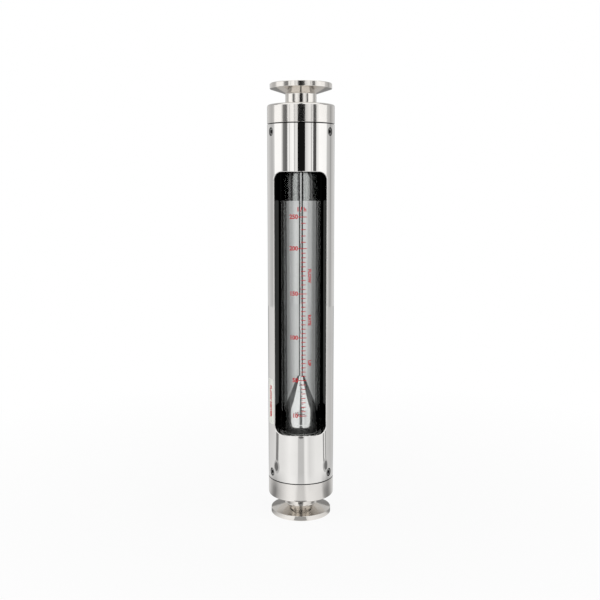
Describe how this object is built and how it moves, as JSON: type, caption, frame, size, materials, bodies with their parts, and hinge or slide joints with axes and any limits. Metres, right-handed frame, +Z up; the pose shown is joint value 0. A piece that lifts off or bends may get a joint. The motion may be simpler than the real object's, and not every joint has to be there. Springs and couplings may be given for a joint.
{
  "type": "rotameter",
  "caption": "Sanitary glass-tube rotameter: polished steel casing with front and rear windows, tapered glass tube, rod-guided cone float and clamp ferrules at both ends.",
  "frame": {"origin": "centre of the lower clamp ferrule's sealing face, which the meter stands on", "axes": "+Z up the flow axis, in the direction of flow; the wide front window with the scale faces -Y"},
  "size_m": [0.055, 0.055, 0.36],
  "materials": {
    "casing_steel": "mirror-polished stainless steel",
    "fitting_steel": "fine-turned and polished stainless steel",
    "float_steel": "polished stainless steel",
    "rod_steel": "bright drawn stainless rod",
    "screw_steel": "bright stainless screws",
    "glass": "clear borosilicate tube with a printed red scale",
    "seal_plastic": "pale grey fluoroplastic",
    "gasket_plastic": "white fluoroplastic"
  },
  "bodies": {
    "housing": {"casing_tube": "casing_steel", "lower_end_cap": "fitting_steel", "upper_end_cap": "fitting_steel", "lower_clamp_ferrule": "fitting_steel", "upper_clamp_ferrule": "fitting_steel", "lower_gland_ring": "fitting_steel", "upper_gland_ring": "fitting_steel", "glass_tube": "glass", "guide_rod": "rod_steel", "lower_rod_spider": "rod_steel", "upper_rod_spider": "rod_steel", "lower_rod_nut": "rod_steel", "upper_rod_nut": "rod_steel", "lower_glass_seal": "seal_plastic", "upper_glass_seal": "seal_plastic", "lower_cushion_gasket": "gasket_plastic", "upper_cushion_gasket": "gasket_plastic", "lower_float_stop": "gasket_plastic", "upper_float_stop": "gasket_plastic", "lower_casing_screws": "screw_steel", "upper_casing_screws": "screw_steel"},
    "float": {"float": "float_steel"}
  },
  "joints": [
    {"name": "float_slide", "type": "slide", "parent": "housing", "child": "float", "axis": [0, 0, 1], "range_m": [0, 0.1785]}
  ]
}
